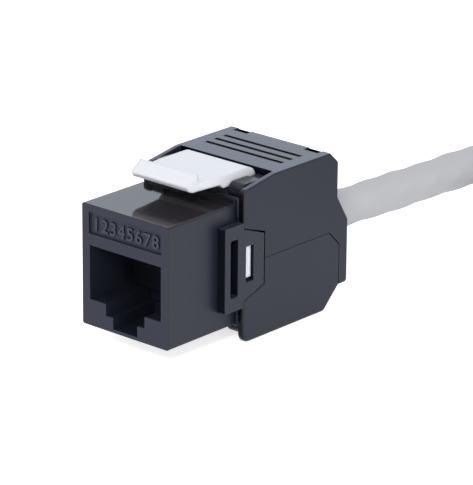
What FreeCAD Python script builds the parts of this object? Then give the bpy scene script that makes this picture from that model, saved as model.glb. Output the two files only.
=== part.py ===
import FreeCAD, Part
import math
import os

import Sketcher

# Keystone jack with two clamshell doors at its rear, a sprung latch on top and a data cable.
# Bodies are drawn with X across, Y back from the front face and Z up from the housing's underside.
# Their placements then put the origin at the middle of the footprint, on the surface it rests on.
SIZES = (
    # front housing
    ("face_w", 14.5, "width of the front face"),
    ("face_h", 16.0, "height of the front face"),
    ("housing_len", 12.25, "front face to the housing's rear edge"),
    ("housing_round", 0.3, "rounding of the housing's long edges"),
    ("rim_len", 0.25, "length of the raised rim at the housing's rear edge"),
    ("rim_over", 0.6, "height of that rim"),
    ("port_w", 12.0, "width of the plug cavity"),
    ("port_floor", 3.5, "height of the plug cavity's floor"),
    ("port_back", 4.55, "from the end of the plug cavity to the housing's rear edge"),
    ("tab_w", 6.56, "width of the channel for the plug's tab, under the cavity"),
    ("tab_drop", 1.55, "depth of that channel"),
    ("tab_more", 0.7, "how much further back that channel ends"),
    ("key_w", 4.1, "width of the narrow slot under it"),
    ("key_drop", 1.5, "depth of the narrow slot"),
    ("front_wall", 1.6, "front wall over the plug cavity"),
    ("loft_h", 3.65, "height of the room over the plug cavity"),
    ("roof_t", 1.7, "roof over that room"),
    ("label_w", 12.2, "width of the shallow recess for marks"),
    ("label_h", 2.8, "height of that recess"),
    ("label_drop", 1.0, "housing's top to the upper edge of that recess"),
    ("label_depth", 0.3, "depth of that recess"),
    ("hook_w", 9.0, "width of the fixed hook under the housing"),
    ("hook_back", 4.05, "front of the fixed hook to the housing's rear edge"),
    ("hook_len", 2.2, "length of the fixed hook"),
    ("hook_drop", 1.2, "how far the fixed hook stands down"),
    ("lug_reach", 0.85, "how far a snap lug stands out of the housing's side"),
    ("lug_land", 0.35, "flat outer end of a snap lug"),
    ("lug_heel", 0.2, "how far its ramp still stands out at the rear"),
    ("lug_low_gap", 0.4, "lower end of a snap lug to the end of its slot"),
    ("lug_top_gap", 0.2, "upper end of a snap lug to the end of its slot"),
    # rear frame with its arms
    ("mid_rise", 0.15, "parting plane of the doors, over the middle of the face"),
    ("neck_gap", 0.15, "groove between housing and frame"),
    ("neck_inset", 0.35, "depth of that groove"),
    ("frame_len", 4.6, "length of the frame along the jack"),
    ("frame_over", 0.5, "how far the frame stands over the housing"),
    ("frame_wall", 0.8, "frame side wall"),
    ("frame_deck", 1.2, "frame top and bottom wall"),
    ("frame_lining", 0.4, "how much thicker those walls are where the board sits"),
    ("frame_round", 0.5, "rounding of the frame's front shoulders"),
    ("arm_t", 0.92, "thickness of an arm outside the frame"),
    ("arm_reach", 3.45, "how far the arms reach ahead of the frame"),
    ("arm_inset", 2.9, "frame's top to the upper edge of an arm"),
    ("arm_round", 0.3, "rounding of the arm's corners"),
    ("tail_len", 3.85, "length of the arm's tail behind the frame's front"),
    ("tail_gap", 0.2, "gap between the tail and the doors"),
    ("tail_step", 0.85, "upper edge of an arm to the edge of its tail"),
    ("tail_taper", 1.4, "how much that edge falls towards the tail's end"),
    ("slot_inset", 1.0, "front of an arm to its slot"),
    ("slot_len", 1.4, "length of the slot in an arm"),
    ("slot_margin", 1.8, "upper edge of an arm to the end of its slot"),
    ("window_inset", 0.47, "frame's front to the window in a tail"),
    ("window_len", 1.42, "length of the window in a tail"),
    ("window_margin", 0.99, "edge of the tail's end to the end of its window"),
    ("ear_w", 2.05, "width of a hinge ear"),
    ("ear_inset", 0.5, "frame's front to the hinge ears"),
    ("ear_len", 3.6, "length of the hinge ears"),
    ("ear_over", 1.2, "how far an ear stands over the frame"),
    ("ear_lift", 0.4, "how much taller the upper ears are"),
    ("ear_round", 1.1, "rounding of the ear's front end"),
    ("shelf_len", 1.9, "length of the low step behind an ear"),
    ("shelf_over", 0.65, "how far that step stands over the frame"),
    ("shelf_lift", 0.75, "how much taller the upper steps are"),
    ("pivot_inset", 1.65, "frame's front to the door pivots"),
    ("pivot_over", 0.1, "height of a door pivot over the frame"),
    ("pivot_r", 0.55, "radius of a door pivot"),
    ("pivot_len", 0.6, "how far a pivot stands out of its ear"),
    # doors
    ("door_len", 20.2, "length of the doors"),
    ("door_over", 2.0, "how far a door stands over the frame"),
    ("deck_lift", 0.15, "how much further the upper door stands over it"),
    ("door_wall", 0.8, "side wall of a door"),
    ("door_deck", 1.15, "top plate of a door"),
    ("seam", 0.1, "gap at the seams of the doors"),
    ("deck_gap", 0.35, "latch's root to the upper door's top plate"),
    ("nose_drop", 0.95, "how far the upper door's sides fall off towards the front"),
    ("nose_round", 0.65, "rounding of the doors' front corners"),
    ("top_round", 0.25, "rounding of the upper door's long edges"),
    ("low_nose_round", 1.4, "rounding of the lower door's front corner"),
    ("low_round", 0.4, "rounding of the lower door's long edges"),
    ("slope_len", 1.4, "length of the slope at the rear of the top plate"),
    ("slope_drop", 1.3, "height of that slope"),
    ("rear_wall", 1.2, "rear wall of a door"),
    ("leg_step", 2.1, "how far the leg stands behind the rest of the rear face"),
    ("leg_t", 1.55, "thickness of the upper door's rear leg"),
    ("leg_lift", 3.0, "underside of the lower door to the foot of the rear leg"),
    ("leg_top", 1.0, "parting plane to the top of the leg's outer face"),
    ("leg_slope", 3.45, "height of the slope over the leg"),
    ("low_bevel", 3.1, "bevel at the rear of the lower door"),
    ("heel_drop", 2.0, "how far the seam steps down at its rear end"),
    ("groove_inset", 3.36, "front of the top plate to the first finger groove"),
    ("groove_pitch", 1.765, "pitch of the finger grooves"),
    ("groove_w", 0.42, "width of a finger groove"),
    ("groove_depth", 0.4, "depth of a finger groove"),
    ("groove_half", 6.4, "half length of a finger groove"),
    ("notch_in", 4.8, "inner end of a rear notch"),
    ("notch_out", 7.15, "outer end of a rear notch"),
    ("notch_len", 2.5, "length of a rear notch"),
    ("notch_drop", 1.85, "depth of a rear notch"),
    ("rib_w", 0.8, "width of a presser rib in a door"),
    ("rib_inset", 0.5, "front of the top plate to the presser ribs"),
    # wire core and its contacts
    ("core_half_w", 6.6, "half width of the wire core"),
    ("core_len", 9.15, "length of the wire core"),
    ("core_gap", 1.3, "top of the wire core to the inside of the frame"),
    ("tab_trim", 0.16, "end of a window to the end of the core's side tab"),
    ("nub_depth", 0.32, "how deep the core's nub lies in the window"),
    ("nub_len", 1.2, "length of that nub"),
    ("nub_rise", 0.45, "lower end of the nub to the end of the window"),
    ("upright_drop", 2.8, "top of the latch to the core's upright"),
    ("wire_pitch", 3.2, "pitch of the wire channels"),
    ("channel_w", 1.3, "width of a wire channel"),
    ("channel_depth", 1.7, "depth of a wire channel"),
    ("wire_d", 1.0, "diameter of an insulated wire"),
    ("blade_w", 2.3, "width of a cutting blade"),
    ("blade_t", 0.4, "thickness of a cutting blade"),
    ("blade_low", 1.0, "parting plane to the foot of a blade"),
    ("blade_sink", 0.4, "top of a blade under the top of the wire core"),
    ("rib_sink", 0.15, "how far a presser rib reaches into a channel"),
    ("blade_gap", 0.5, "gap between a blade's prongs"),
    ("blade_inset", 1.45, "front of the wire channels to the first row of blades"),
    ("blade_step", 1.8, "second row, behind the first"),
    ("fit_gap", 0.05, "clearance round what is let into another piece"),
    ("slide_gap", 0.1, "clearance between pieces that slide past each other"),
    # latch
    ("latch_half", 5.2, "half width of the latch at its root"),
    ("latch_taper", 0.5, "how much narrower each side of the latch is at its nose"),
    ("latch_over", 3.2, "top of the latch plate over the housing"),
    ("latch_t", 1.1, "thickness of the latch plate"),
    ("latch_root_t", 1.6, "thickness of the latch at its root"),
    ("root_inset", 4.35, "frame's front to the centre of the latch's root"),
    ("nose_reach", 6.1, "how far the latch reaches over the housing"),
    ("nose_fall", 0.2, "latch's top to its front edge"),
    ("lip_len", 0.44, "length of the bevel under that edge"),
    ("lip_rise", 0.22, "underside of the latch to the rear of that bevel"),
    ("tip_inset", 1.85, "front of the latch to its tip"),
    ("tip_rise", 1.22, "how far the tip stands over the latch plate"),
    ("tip_round", 0.15, "rounding of the tip"),
    ("cradle_gap", 0.1, "gap round the latch's root"),
    # contact carrier, springs and board
    ("contact_pitch", 1.02, "pitch of the contact springs"),
    ("contact_w", 0.46, "width of a contact spring"),
    ("contact_t", 0.3, "thickness of a contact spring"),
    ("contact_nose", 2.5, "front bend of the contact springs"),
    ("contact_tip_gap", 0.9, "free end of a contact spring to the end of the plug cavity"),
    ("contact_tip_drop", 2.75, "plug cavity's ceiling to that free end"),
    ("contact_run_over", 1.65, "upper run of a contact spring over that ceiling"),
    ("comb_w", 0.62, "width of a slot in the contact carrier"),
    ("comb_over", 0.4, "ceiling of those slots over the springs' upper run"),
    ("board_inset", 0.55, "frame's front to the circuit board"),
    ("board_t", 1.2, "thickness of the circuit board"),
    ("board_side_gap", 1.2, "circuit board to the frame's sides"),
    ("board_end_gap", 0.4, "circuit board to the frame's top and bottom"),
    # cable
    ("cable_d", 4.7, "diameter of the cable's jacket"),
    ("cable_drop", 1.5, "cable, below the parting plane"),
    ("cable_play", 0.2, "gap round the cable where the doors hold it"),
    ("fan_len", 5.1, "wire core to the end of the cable's jacket"),
    ("fan_r", 1.5, "radius of the ring of wires where they leave the jacket"),
    ("fan_lead", 1.2, "straight part of a wire at each end of the fan"),
    ("coil_r", 23.7, "radius of the coil's turns, one over the other"),
    ("coil_y", 70.0, "coil's middle, along the cable"),
)


class Size:
    """A length that keeps both its number and the sheet cells it comes from."""

    def __init__(self, value, text):
        self.value = value
        self.text = text

    def __add__(self, other):
        return joined(self, "+", other)

    def __radd__(self, other):
        return joined(other, "+", self)

    def __sub__(self, other):
        return joined(self, "-", other)

    def __rsub__(self, other):
        return joined(other, "-", self)

    def __mul__(self, other):
        return joined(self, "*", other)

    def __rmul__(self, other):
        return joined(other, "*", self)

    def __truediv__(self, other):
        return joined(self, "/", other)

    def __neg__(self):
        return joined(0, "-", self)


def size(item):
    return item if isinstance(item, Size) else Size(float(item), repr(float(item)))


def joined(left, sign, right):
    left, right = size(left), size(right)
    value = {
        "+": lambda: left.value + right.value,
        "-": lambda: left.value - right.value,
        "*": lambda: left.value * right.value,
        "/": lambda: left.value / right.value,
    }[sign]()
    return Size(value, f"({left.text} {sign} {right.text})")


class Sheet:
    """The driving dimensions, each one cell with an alias."""

    def __init__(self, doc):
        cells = doc.addObject("Spreadsheet::Sheet", "Dims")
        for row, (name, value, meaning) in enumerate(SIZES, 1):
            cells.set(f"A{row}", meaning)
            cells.set(f"B{row}", str(value))
            cells.setAlias(f"B{row}", name)
            setattr(self, name, Size(float(value), f"Dims.{name}"))
        doc.recompute()


doc = FreeCAD.newDocument("keystone_jack")
d = Sheet(doc)
NODES = []

# Places that several pieces share, first those along the jack
hook_y = d.housing_len - d.hook_back
port_end = d.housing_len - d.port_back
frame_front = d.housing_len + d.neck_gap
frame_back = frame_front + d.frame_len
arm_front = frame_front - d.arm_reach
slot_front = arm_front + d.slot_inset
window_front = frame_front + d.window_inset
ear_front = frame_front + d.ear_inset
ear_back = ear_front + d.ear_len
shelf_back = ear_back + d.shelf_len
pivot_y = frame_front + d.pivot_inset
root_y = frame_front + d.root_inset
nose_y = d.housing_len - d.nose_reach
tip_y = nose_y + d.tip_inset
deck_front = root_y + d.latch_root_t + d.deck_gap
groove_y = deck_front + d.groove_inset
rib_front = deck_front + d.rib_inset
door_back = frame_front + d.door_len
upper_rear = door_back - d.leg_step
shoulder_y = upper_rear - d.slope_len
notch_y = upper_rear - d.notch_len
half_depth = door_back / 2
board_y = frame_front + d.board_inset
tab_front = window_front + d.fit_gap
core_front = board_y + d.board_t + d.slide_gap
core_back = core_front + d.core_len
channel_front = root_y + d.latch_root_t + d.cradle_gap
blade_y = channel_front + d.blade_inset
jacket_front = core_back + d.fan_len
contact_tip_y = port_end - d.contact_tip_gap

# Heights, and half heights from the doors' parting plane
loft_top = d.face_h - d.roof_t
port_top = loft_top - d.loft_h
tab_floor = d.port_floor - d.tab_drop
key_floor = tab_floor - d.key_drop
label_top = d.face_h - d.label_drop
label_low = label_top - d.label_h
mid_z = d.face_h / 2 + d.mid_rise
frame_half = d.face_h / 2 + d.frame_over
hollow_half = frame_half - d.frame_deck - d.frame_lining
board_half = hollow_half - d.board_end_gap
core_half = hollow_half - d.core_gap
channel_half = core_half - d.channel_depth
blade_half = core_half - d.blade_sink
arm_half = frame_half - d.arm_inset
slot_half = arm_half - d.slot_margin
tail_half = arm_half - d.tail_step
tail_end_half = tail_half - d.tail_taper
window_half = tail_end_half - d.window_margin
tab_half = window_half - d.tab_trim
ear_half = frame_half + d.ear_over
shelf_half = frame_half + d.shelf_over
pivot_half = frame_half + d.pivot_over
door_half = frame_half + d.door_over
leg_half = door_half - d.leg_lift
base_z = door_half - mid_z
latch_top = d.face_h + d.latch_over
root_z = latch_top - d.latch_root_t
nose_z = latch_top - d.nose_fall
tip_z = latch_top + d.tip_rise
contact_run_z = port_top + d.contact_run_over
contact_tip_z = port_top - d.contact_tip_drop
comb_top = contact_run_z + d.comb_over
cable_z = mid_z - d.cable_drop

# Places across, from the middle
side_x = d.face_w / 2
inner_x = side_x - d.neck_inset - d.slide_gap
frame_x = inner_x + d.frame_wall
outer_x = frame_x + d.arm_t
cheek_x = outer_x - d.door_wall
ear_out = frame_x - d.slide_gap
nub_x = outer_x - d.nub_depth
carrier_x = d.port_w / 2 - d.slide_gap
latch_nose_x = d.latch_half - d.latch_taper
cable_r = d.cable_d / 2

# How the cable lies: shares of its way to the coil, and of its height over the upper turn
CABLE_LIE = ((0.218, 0.795), (0.441, 0.564), (0.665, 0.41), (0.851, 0.077))

# A sketch plane's normal axis, its axis across and its axis up
AXES = {"YZ": (0, 1, 2), "XZ": (1, 0, 2), "XY": (2, 0, 1)}


def bind(item, path, length):
    item.setExpression(path, size(length).text)


def place(item, label):
    """Names the piece and puts its drawing frame where the jack's own frame has it."""
    item.Label = label
    bind(item, ".Placement.Base.y", -half_depth)
    bind(item, ".Placement.Base.z", base_z)
    NODES.append(item)
    return item


def new_body(label):
    return place(doc.addObject("PartDesign::Body", label), label)


def hold(sketch, geometry, point, across, up):
    """Holds one point of a sketch at its distances from the sketch's axes."""
    for kind, axis, length in (("DistanceX", -2, across), ("DistanceY", -1, up)):
        if not isinstance(length, Size) and length == 0:
            sketch.addConstraint(Sketcher.Constraint("PointOnObject", geometry, point, axis))
            continue
        length = size(length)
        row = sketch.addConstraint(
            Sketcher.Constraint(kind, -1, 1, geometry, point, length.value)
        )
        sketch.setExpression(f"Constraints[{row}]", length.text)


def draw(sketch, loop):
    """Draws a closed outline of corners (across, up), or a circle (across, up, radius)."""
    first = len(sketch.Geometry)
    if not isinstance(loop, list):
        across, up, radius = (size(v) for v in loop)
        centre = FreeCAD.Vector(across.value, up.value, 0)
        ring = Part.Circle(centre, FreeCAD.Vector(0, 0, 1), radius.value)
        sketch.addGeometry(ring, False)
        hold(sketch, first, 3, loop[0], loop[1])
        row = sketch.addConstraint(Sketcher.Constraint("Radius", first, radius.value))
        sketch.setExpression(f"Constraints[{row}]", radius.text)
        return
    points = [FreeCAD.Vector(size(c[0]).value, size(c[1]).value, 0) for c in loop]
    count = len(points)
    for i in range(count):
        sketch.addGeometry(Part.LineSegment(points[i], points[(i + 1) % count]), False)
    for i in range(count):
        following = first + (i + 1) % count
        sketch.addConstraint(Sketcher.Constraint("Coincident", first + i, 2, following, 1))
    for i, corner in enumerate(loop):
        hold(sketch, first + i, 1, corner[0], corner[1])


def prism(body, plane, loops, start, end, cut=False):
    """Pads or cuts outlines on a plane from start to end; a corner's third value rounds it."""
    start, end = size(start), size(end)
    facing = -1 if plane == "XZ" else 1
    sketch = body.newObject("Sketcher::SketchObject", f"{body.Label}_outline")
    origin = [f for f in body.Origin.OriginFeatures if f.Role == f"{plane}_Plane"][0]
    sketch.AttachmentSupport = (origin, [""])
    sketch.MapMode = "FlatFace"
    bind(sketch, ".AttachmentOffset.Base.z", facing * start)
    for loop in loops:
        draw(sketch, loop)
    before = body.Tip.Shape.Volume if body.Tip else 0.0
    kind = "Pocket" if cut else "Pad"
    feature = body.newObject(f"PartDesign::{kind}", f"{body.Label}_{kind.lower()}")
    feature.Profile = sketch
    bind(feature, "Length", end - start)
    feature.Reversed = (facing > 0) if cut else (facing < 0)
    doc.recompute()
    after = feature.Shape.Volume
    if (after >= before) if cut else (after <= before):
        raise RuntimeError(f"{feature.Label} changes nothing")
    radii = {}
    for loop in loops:
        for corner in loop if isinstance(loop, list) else ():
            if len(corner) == 3:
                radii.setdefault(corner[2].text, (corner[2], []))[1].append(corner)
    for radius, corners in radii.values():
        round_along(body, plane, corners, radius, start, end)
    return feature


def edges_where(shape, test):
    return [f"Edge{i}" for i, edge in enumerate(shape.Edges, 1) if test(edge)]


def round_edges(body, radius, test):
    """Rounds the edges of the body's newest feature that pass the test."""
    tip = body.Tip
    names = edges_where(tip.Shape, test)
    if not names:
        raise RuntimeError(f"{body.Label} has no such edge to round")
    feature = body.newObject("PartDesign::Fillet", f"{body.Label}_fillet")
    feature.Base = (tip, names)
    bind(feature, "Radius", radius)
    doc.recompute()
    if feature.Shape.isNull():
        raise RuntimeError(f"{body.Label} can't be rounded by {size(radius).value}")
    return feature


def runs_along(edge, axis):
    """True for a straight edge parallel to axis 0, 1 or 2."""
    if len(edge.Vertexes) != 2:
        return False
    chord = edge.Vertexes[1].Point - edge.Vertexes[0].Point
    return abs(abs(chord[axis]) - edge.Length) < 1e-6


def round_along(body, plane, corners, radius, start, end):
    """Rounds the edges that a prism's corners left, between its two ends."""
    axis, across, up = AXES[plane]
    places = [(size(c[0]).value, size(c[1]).value) for c in corners]
    low, high = sorted((start.value, end.value))

    def test(edge):
        if not runs_along(edge, axis):
            return False
        middle = edge.CenterOfMass
        if not low - 1e-6 <= middle[axis] <= high + 1e-6:
            return False
        return any(math.hypot(middle[across] - u, middle[up] - v) < 1e-4 for u, v in places)

    round_edges(body, radius, test)


def box_loop(left, right, low, high, *radius):
    """A rectangle's corners, each with the same rounding if one is given."""
    corners = ((left, low), (right, low), (right, high), (left, high))
    return [corner + radius for corner in corners]


def both_sides(inner, outer):
    """The same stretch along X on the right and on the left."""
    return ((inner, outer), (-outer, -inner))


def mirrored(loop):
    """An outline in Y and Z turned over about the parting plane."""
    return [(corner[0], 2 * mid_z - corner[1]) + tuple(corner[2:]) for corner in loop]


def make_front_housing():
    body = new_body("front_housing")
    outline = box_loop(-side_x, side_x, 0, d.face_h, d.housing_round)
    prism(body, "XZ", [outline], 0, d.housing_len)
    rim_low = d.face_h - d.housing_round
    rim = box_loop(-side_x, side_x, rim_low, d.face_h + d.rim_over)
    prism(body, "XZ", [rim], d.housing_len - d.rim_len, d.housing_len)
    wall_x = d.port_w / 2
    tab_x = d.tab_w / 2
    key_x = d.key_w / 2
    port = [
        (-wall_x, d.port_floor),
        (-tab_x, d.port_floor),
        (-tab_x, tab_floor),
        (-key_x, tab_floor),
        (-key_x, key_floor),
        (key_x, key_floor),
        (key_x, tab_floor),
        (tab_x, tab_floor),
        (tab_x, d.port_floor),
        (wall_x, d.port_floor),
        (wall_x, port_top),
        (-wall_x, port_top),
    ]
    prism(body, "XZ", [port], 0, port_end, cut=True)
    tab = box_loop(-tab_x, tab_x, tab_floor, d.port_floor + d.fit_gap)
    prism(body, "XZ", [tab], port_end, port_end + d.tab_more, cut=True)
    rear = box_loop(-wall_x, wall_x, d.port_floor, port_top)
    prism(body, "XZ", [rear], port_end, d.housing_len, cut=True)
    loft = box_loop(-wall_x, wall_x, port_top, loft_top)
    prism(body, "XZ", [loft], d.front_wall, d.housing_len, cut=True)
    label_x = d.label_w / 2
    label = box_loop(-label_x, label_x, label_low, label_top)
    prism(body, "XZ", [label], 0, d.label_depth, cut=True)
    # snap lugs, a steep catch in front and a ramp behind
    lug_x = side_x + d.lug_reach
    lug_front = slot_front + d.slide_gap
    lug_back = slot_front + d.slot_len - d.slide_gap
    low = mid_z - slot_half + d.lug_low_gap
    high = mid_z + slot_half - d.lug_top_gap
    for turn in (1, -1):
        lug = [
            (turn * (side_x - d.fit_gap), lug_front),
            (turn * lug_x, lug_front),
            (turn * lug_x, lug_front + d.lug_land),
            (turn * (side_x + d.lug_heel), lug_back),
            (turn * (side_x - d.fit_gap), lug_back),
        ]
        prism(body, "XY", [lug], low, high)
    # fixed hook that catches behind the lower edge of a panel's cut-out
    hook = [
        (hook_y, d.fit_gap),
        (hook_y, -d.hook_drop),
        (hook_y + d.hook_len / 2, -d.hook_drop),
        (hook_y + d.hook_len, d.fit_gap),
    ]
    prism(body, "YZ", [hook], -d.hook_w / 2, d.hook_w / 2)


def ear_loops(top, ear_top, shelf_top):
    """Side views of a hinge ear and of the low step behind it."""
    foot = top - d.frame_deck / 2
    ear = [
        (ear_front, foot),
        (ear_back, foot),
        (ear_back, ear_top),
        (ear_front, ear_top, d.ear_round),
    ]
    shelf = box_loop(ear_back - d.fit_gap, shelf_back, top - d.frame_deck, shelf_top)
    return ear, shelf


def make_rear_frame():
    body = new_body("rear_frame")
    top = mid_z + frame_half
    low = mid_z - frame_half
    deck_top = top - d.frame_deck
    deck_low = low + d.frame_deck
    neck_x = side_x - d.neck_inset
    outer = box_loop(-frame_x, frame_x, low, top, d.frame_round)
    prism(body, "XZ", [outer], frame_front, frame_back)
    shoulders = ((frame_front, top), (frame_front, low))
    round_along(body, "YZ", shoulders, d.frame_round, size(-frame_x), frame_x)
    neck = box_loop(-neck_x, neck_x, deck_low, deck_top)
    prism(body, "XZ", [neck], d.housing_len, frame_front + d.frame_round)
    hollow = box_loop(-inner_x, inner_x, mid_z - hollow_half, mid_z + hollow_half)
    prism(body, "XZ", [hollow], d.housing_len, frame_back, cut=True)
    # arms that reach forward past the housing, with tails let into the doors
    arm_top = mid_z + arm_half
    arm_low = mid_z - arm_half
    tail_back = frame_front + d.tail_len
    arm = [
        (arm_front, arm_low, d.arm_round),
        (frame_front, arm_low),
        (frame_front, mid_z - tail_half),
        (tail_back, mid_z - tail_end_half),
        (tail_back, mid_z + tail_end_half),
        (frame_front, mid_z + tail_half),
        (frame_front, arm_top),
        (arm_front, arm_top, d.arm_round),
    ]
    pad = box_loop(arm_front, frame_front, arm_low, arm_top)
    slot_back = slot_front + d.slot_len
    slot_low = mid_z - slot_half
    slot_top = mid_z + slot_half
    slot = box_loop(slot_front, slot_back, slot_low, slot_top, d.arm_round)
    window_back = window_front + d.window_len
    window_low = mid_z - window_half
    window_top = mid_z + window_half
    window = box_loop(window_front, window_back, window_low, window_top)
    arm_in = side_x + d.slide_gap
    for start, end in both_sides(frame_x, outer_x):
        prism(body, "YZ", [arm], start, end)
    for start, end in both_sides(arm_in, frame_x + d.fit_gap):
        prism(body, "YZ", [pad], start, end)
    for start, end in both_sides(arm_in - d.fit_gap, outer_x):
        prism(body, "YZ", [slot], start, end, cut=True)
    for start, end in both_sides(inner_x - d.fit_gap, outer_x):
        prism(body, "YZ", [window], start, end, cut=True)
    # hinge ears over and under, each with a low step behind it and a pivot outside
    ear_top = mid_z + ear_half + d.ear_lift
    shelf_top = mid_z + shelf_half + d.shelf_lift
    ear, shelf = ear_loops(top, ear_top, shelf_top)
    low_ear, low_shelf = ear_loops(top, mid_z + ear_half, mid_z + shelf_half)
    pivot_top = mid_z + pivot_half
    pivot_low = mid_z - pivot_half
    for start, end in both_sides(ear_out - d.ear_w, ear_out):
        prism(body, "YZ", [ear], start, end)
        prism(body, "YZ", [mirrored(low_ear)], start, end)
        prism(body, "YZ", [shelf], start, end)
        prism(body, "YZ", [mirrored(low_shelf)], start, end)
    for start, end in both_sides(ear_out - d.ear_w / 2, ear_out + d.pivot_len):
        for height in (pivot_top, pivot_low):
            prism(body, "YZ", [(pivot_y, height, d.pivot_r)], start, end)
    # the top wall is open where the latch's root stands
    root_x = d.latch_half + d.slide_gap
    opening_front = root_y - d.latch_root_t - d.cradle_gap * 2
    opening = box_loop(-root_x, root_x, opening_front, frame_back + d.fit_gap)
    prism(body, "XY", [opening], deck_top - d.frame_deck, ear_top, cut=True)


def door_outline(top):
    """Side view of the upper door's shell, with its front end rounded about the pivot."""
    tail_back = frame_front + d.tail_len + d.tail_gap
    return [
        (frame_front, mid_z + tail_half + d.tail_gap),
        (tail_back, mid_z + tail_end_half + d.tail_gap),
        (tail_back, mid_z + d.seam / 2),
        (door_back - d.leg_t - d.heel_drop, mid_z + d.seam / 2),
        (door_back - d.leg_t, mid_z + d.seam / 2 - d.heel_drop),
        (door_back - d.leg_t, mid_z - leg_half),
        (door_back, mid_z - leg_half, d.low_round),
        (door_back, mid_z + d.leg_top),
        (upper_rear, mid_z + d.leg_top + d.leg_slope),
        (upper_rear, top - d.slope_drop),
        (shoulder_y, top),
        (deck_front - d.top_round, top),
        (frame_front, top - d.nose_drop, d.nose_round),
    ]


def lower_outline(low):
    """Side view of the lower door's shell."""
    tail_back = frame_front + d.tail_len + d.tail_gap
    back = door_back - d.leg_t - d.seam
    seam_z = mid_z - d.seam / 2
    return [
        (frame_front, mid_z - tail_half - d.tail_gap),
        (tail_back, mid_z - tail_end_half - d.tail_gap),
        (tail_back, seam_z),
        (back - d.heel_drop, seam_z),
        (back, seam_z - d.heel_drop),
        (back, mid_z - leg_half),
        (back - d.low_bevel, low),
        (frame_front, low, d.low_nose_round),
    ]


def hollow_out(body, deck, far, front_edge, upward):
    """Opens the inside of a door between its cheeks, from its front to its rear wall."""
    margin = d.door_deck
    toward = 1 if upward else -1
    past = mid_z - toward * door_half
    inner_deck = far - toward * d.door_deck
    front = frame_front - margin
    inside = [
        (front, past),
        (front, far + toward * margin),
        (front_edge, far + toward * margin),
        (front_edge, inner_deck),
        (deck - d.rear_wall, inner_deck),
        (deck, inner_deck - toward * d.rear_wall),
        (deck, past),
    ]
    prism(body, "YZ", [inside], -cheek_x, cheek_x, cut=True)


def pivot_sockets(body, height):
    """Blind sockets in the cheeks that the frame's pivots sit in."""
    depth_x = ear_out + d.pivot_len + d.fit_gap
    for start, end in both_sides(cheek_x - d.fit_gap, depth_x):
        socket = (pivot_y, height, d.pivot_r + d.fit_gap)
        prism(body, "YZ", [socket], start, end, cut=True)


def presser_ribs(body, inner_deck, toward):
    """Four ribs in line with the wire channels, clear of the blades."""
    tip = mid_z + toward * (core_half - d.rib_sink)
    back = core_back - d.rib_w
    low, high = (tip, inner_deck + d.fit_gap) if toward > 0 else (inner_deck - d.fit_gap, tip)
    loops = []
    for centre, _ in channel_places():
        loops.append(box_loop(centre - d.rib_w / 2, centre + d.rib_w / 2, rib_front, back))
    prism(body, "XY", loops, low, high)


def long_edge_test(height, tolerance):
    """Edges that run along the door at its outer deck, at the two sides."""

    def test(edge):
        middle = edge.CenterOfMass
        if abs(abs(middle.x) - outer_x.value) > 1e-4:
            return False
        if abs(middle.z - height) > tolerance or runs_along(edge, 0):
            return False
        return middle.y > pivot_y.value

    return test


def cable_hole(body, width_r, height, upward, start, end):
    """A round-ended slot across a door's rear wall, open towards the other door."""
    open_end = height - door_half if not upward else height + door_half
    loops = box_loop(-width_r, width_r, *((height, open_end) if upward else (open_end, height)))
    prism(body, "XZ", [loops], start, end, cut=True)
    prism(body, "XZ", [(0, height, width_r)], start, end, cut=True)


def make_upper_door():
    body = new_body("upper_door")
    top = mid_z + door_half + d.deck_lift
    prism(body, "YZ", [door_outline(top)], -outer_x, outer_x)
    hollow_back = upper_rear - d.rear_wall
    round_edges(body, d.top_round, long_edge_test(top.value, d.door_deck.value))
    hollow_out(body, hollow_back, top, deck_front, True)
    pivot_sockets(body, mid_z + pivot_half)
    presser_ribs(body, top - d.door_deck, 1)
    cable_hole(body, cable_r + d.cable_play, cable_z, False, upper_rear - d.rear_wall * 2, door_back)
    grooves = []
    for i in range(3):
        front = groove_y + i * d.groove_pitch - d.groove_w / 2
        grooves.append(box_loop(-d.groove_half, d.groove_half, front, front + d.groove_w))
    prism(body, "XY", grooves, top - d.groove_depth, top, cut=True)
    notches = [
        box_loop(d.notch_in, d.notch_out, notch_y, door_back),
        box_loop(-d.notch_out, -d.notch_in, notch_y, door_back),
    ]
    prism(body, "XY", notches, top - d.notch_drop, top, cut=True)


def make_lower_door():
    body = new_body("lower_door")
    low = mid_z - door_half
    prism(body, "YZ", [lower_outline(low)], -outer_x, outer_x)
    back = door_back - d.leg_t - d.seam
    round_edges(body, d.low_round, long_edge_test(low.value, 1e-4))
    hollow_out(body, back - d.rear_wall, low, frame_back, False)
    pivot_sockets(body, mid_z - pivot_half)
    presser_ribs(body, low + d.door_deck, -1)
    cable_hole(body, cable_r + d.cable_play, cable_z, True, back - d.rear_wall * 2, back)


def channel_places():
    """Centre and row of each of the four channels on one face of the core."""
    for i in range(4):
        yield (i - 1.5) * d.wire_pitch, blade_y + (i % 2) * d.blade_step


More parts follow.
